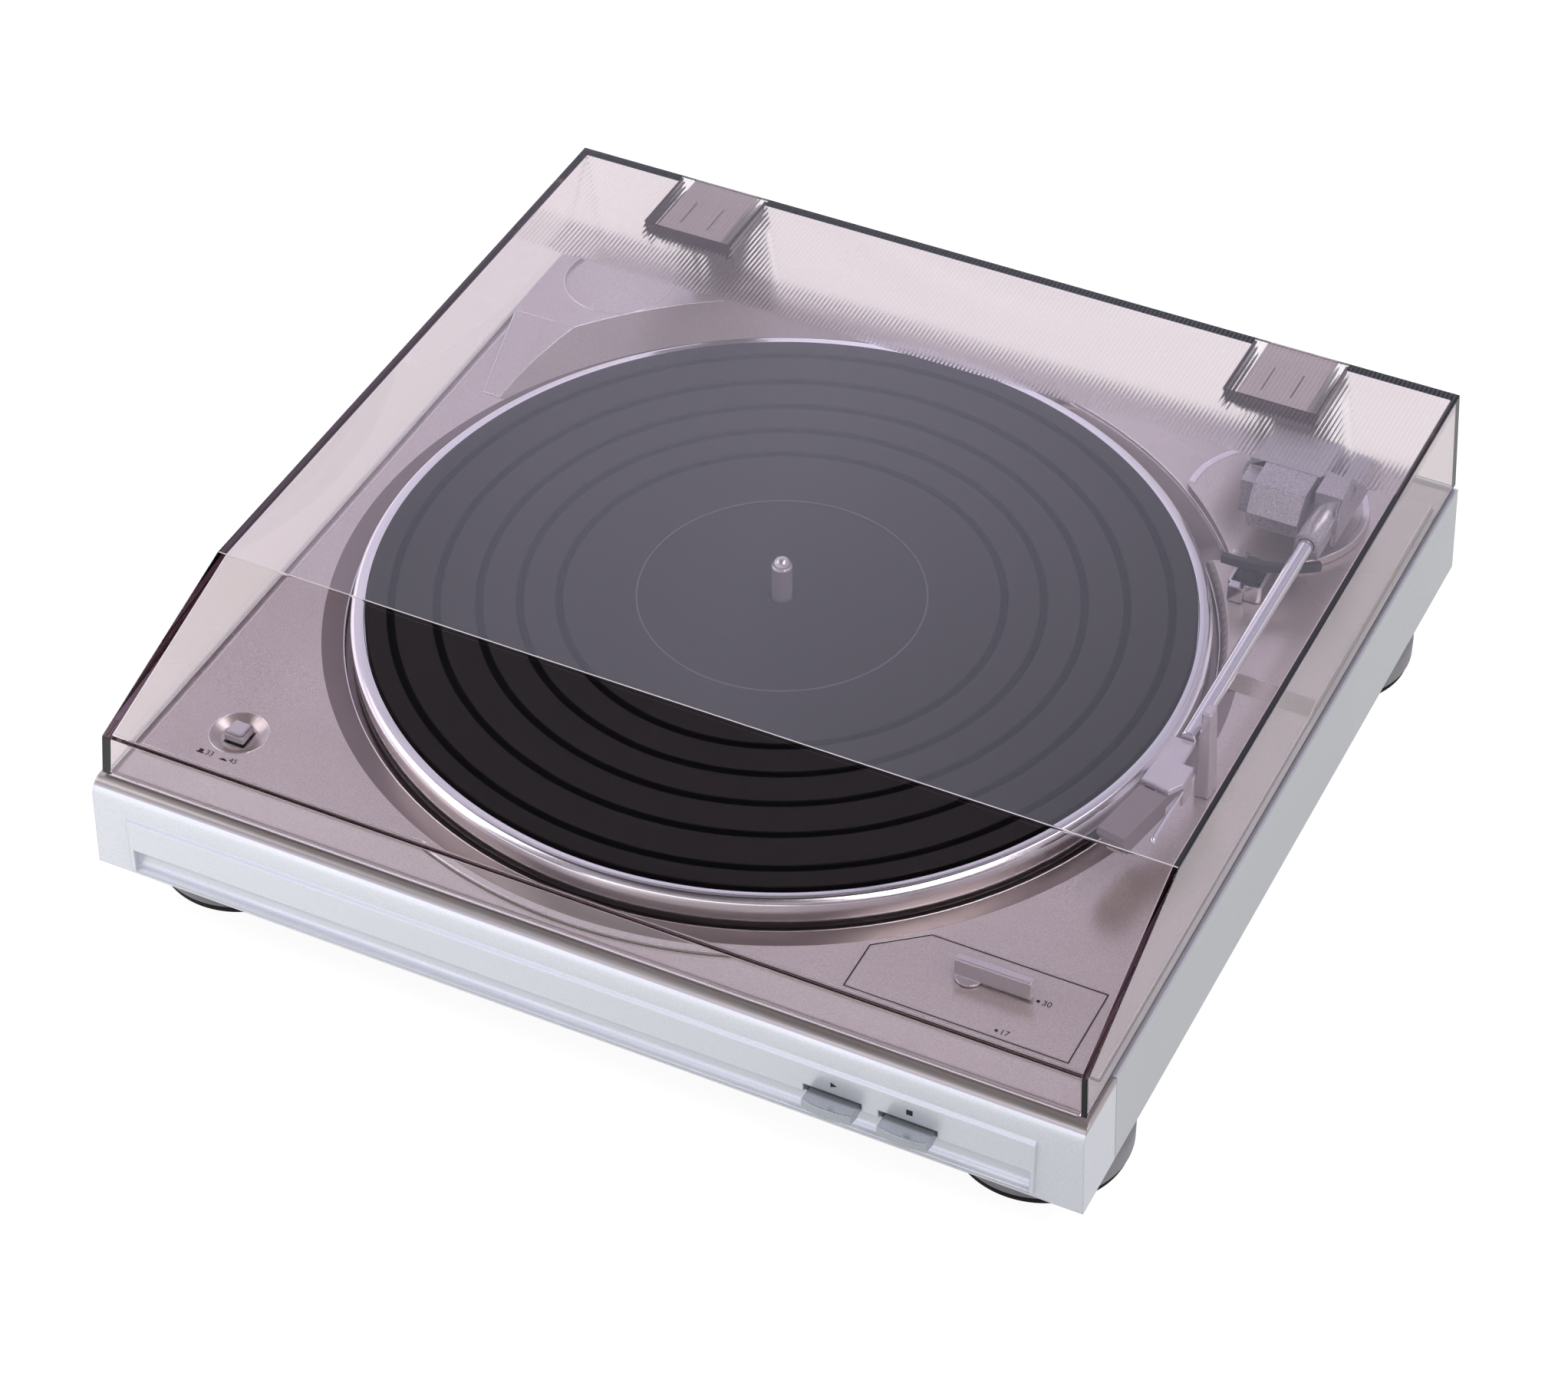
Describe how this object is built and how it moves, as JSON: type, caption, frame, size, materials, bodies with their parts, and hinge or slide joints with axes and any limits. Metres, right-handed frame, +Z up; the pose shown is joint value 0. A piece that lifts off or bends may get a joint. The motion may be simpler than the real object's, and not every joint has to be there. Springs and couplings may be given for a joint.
{
  "type": "automatic turntable",
  "caption": "Low automatic record player with belt-driven platter, straight tonearm, push keys and hinged smoked dust cover.",
  "frame": {"origin": "middle of the object's plan, on the surface that its feet stand on", "axes": "+Z up, -Y towards the front panel, +X to the right as seen from the front"},
  "size_m": [0.36, 0.355, 0.097],
  "materials": {
    "silver_paint": "satin silver paint on moulded plastic",
    "mauve_metallic": "metallic mauve-silver paint on moulded plastic",
    "bare_aluminium": "turned or anodised aluminium",
    "chrome": "polished chrome",
    "black_rubber": "matt black rubber",
    "black_plastic": "moulded black",
    "grey_plastic": "moulded grey",
    "zinc_steel": "zinc-plated steel",
    "cast_zinc": "textured silver-grey paint on a casting",
    "white_acetal": "natural white acetal",
    "brass": "turned brass",
    "green_board": "green solder mask",
    "smoked_acrylic": "clear smoked acrylic"
  },
  "bodies": {
    "chassis": {"arm_base": "mauve_metallic", "arm_rest": "bare_aluminium", "audio_gland": "black_rubber", "bottom_cover": "black_plastic", "cabinet": "mauve_metallic", "cam_axle": "zinc_steel", "circuit_board": "green_board", "drive_belt": "black_rubber", "foot_front_left": "grey_plastic", "foot_front_right": "grey_plastic", "foot_pad_front_left": "black_rubber", "foot_pad_front_right": "black_rubber", "foot_pad_rear_left": "black_rubber", "foot_pad_rear_right": "black_rubber", "foot_rear_left": "grey_plastic", "foot_rear_right": "grey_plastic", "front_panel": "silver_paint", "hinge_base_left": "black_plastic", "hinge_base_right": "black_plastic", "key_bracket": "zinc_steel", "lifter_guide": "bare_aluminium", "mains_gland": "black_rubber", "mechanism_plate": "zinc_steel", "motor": "zinc_steel", "size_panel": "mauve_metallic", "speed_switch": "black_plastic", "spindle": "chrome", "start_spring": "zinc_steel", "stop_spring": "zinc_steel", "stop_switch": "black_plastic", "thrust_washer": "brass", "transformer": "zinc_steel"},
    "cover": {"dust_cover": "smoked_acrylic", "hinge_arm_left": "black_plastic", "hinge_arm_right": "black_plastic"},
    "platter_group": {"platter": "bare_aluminium", "platter_mat": "black_rubber", "hub_pinion": "white_acetal"},
    "pulley": {"motor_pulley": "brass"},
    "cam": {"cam_gear": "white_acetal"},
    "arm_turning_part": {"arm_yoke": "cast_zinc", "arm_shaft": "zinc_steel"},
    "arm_tilting_part": {"arm_pivot_block": "cast_zinc", "pivot_screw": "zinc_steel", "counterweight": "cast_zinc", "arm_tube": "chrome", "headshell": "bare_aluminium", "cartridge": "grey_plastic", "stylus": "black_plastic", "finger_lift": "chrome"},
    "lifter": {"lifter_bar": "black_plastic"},
    "size_selector": {"size_lever": "bare_aluminium", "size_crank": "zinc_steel"},
    "speed_key": {"speed_button": "bare_aluminium"},
    "start_key_group": {"start_key": "silver_paint", "start_link": "zinc_steel"},
    "stop_key_group": {"stop_key": "silver_paint", "stop_link": "zinc_steel"}
  },
  "joints": [
    {"name": "cover_hinge", "type": "hinge", "parent": "chassis", "child": "cover", "pos_m": [0, 0.174, 0.0501], "axis": [-1, 0, 0], "range_deg": [0, 60]},
    {"name": "platter_spin", "type": "hinge", "parent": "chassis", "child": "platter_group", "pos_m": [-0.0077, 0.0031, 0.068], "axis": [0, 0, 1], "continuous": true},
    {"name": "pulley_spin", "type": "hinge", "parent": "chassis", "child": "pulley", "pos_m": [-0.09114, 0.08654, 0.0615], "axis": [0, 0, 1], "continuous": true},
    {"name": "cam_spin", "type": "hinge", "parent": "chassis", "child": "cam", "pos_m": [0.03653, 0.03407, 0.0448], "axis": [0, 0, 1], "continuous": true},
    {"name": "arm_yaw", "type": "hinge", "parent": "chassis", "child": "arm_turning_part", "pos_m": [0.1259, 0.12904, 0.0628], "axis": [0, 0, -1], "range_deg": [0, 34.5]},
    {"name": "arm_tilt", "type": "hinge", "parent": "arm_turning_part", "child": "arm_tilting_part", "pos_m": [0.15, 0.12024, 0.0846], "axis": [-1, 0, 0], "range_deg": [0, 2.5]},
    {"name": "lifter_slide", "type": "slide", "parent": "chassis", "child": "lifter", "axis": [0, 0, 1], "range_m": [0, 0.00127]},
    {"name": "size_turn", "type": "hinge", "parent": "chassis", "child": "size_selector", "pos_m": [0.121, -0.126, 0.0575], "axis": [0, 0, -1], "range_deg": [0, 46]},
    {"name": "speed_press", "type": "slide", "parent": "chassis", "child": "speed_key", "axis": [0, 0, -1], "range_m": [0, 0.0018], "stiffness_N_per_m": 200, "springref_m": -0.002},
    {"name": "start_press", "type": "slide", "parent": "chassis", "child": "start_key_group", "axis": [0, 1, 0], "range_m": [0, 0.0035], "stiffness_N_per_m": 300, "springref_m": -0.002, "deforming": ["start_spring"]},
    {"name": "stop_press", "type": "slide", "parent": "chassis", "child": "stop_key_group", "axis": [0, 1, 0], "range_m": [0, 0.0035], "stiffness_N_per_m": 300, "springref_m": -0.002, "deforming": ["stop_spring"]}
  ],
  "couplings": [
    {"joint": "pulley_spin", "follows": "platter_spin", "ratio": 15.833},
    {"joint": "lifter_slide", "follows": "arm_tilt", "m_per_rad": 0.028}
  ]
}
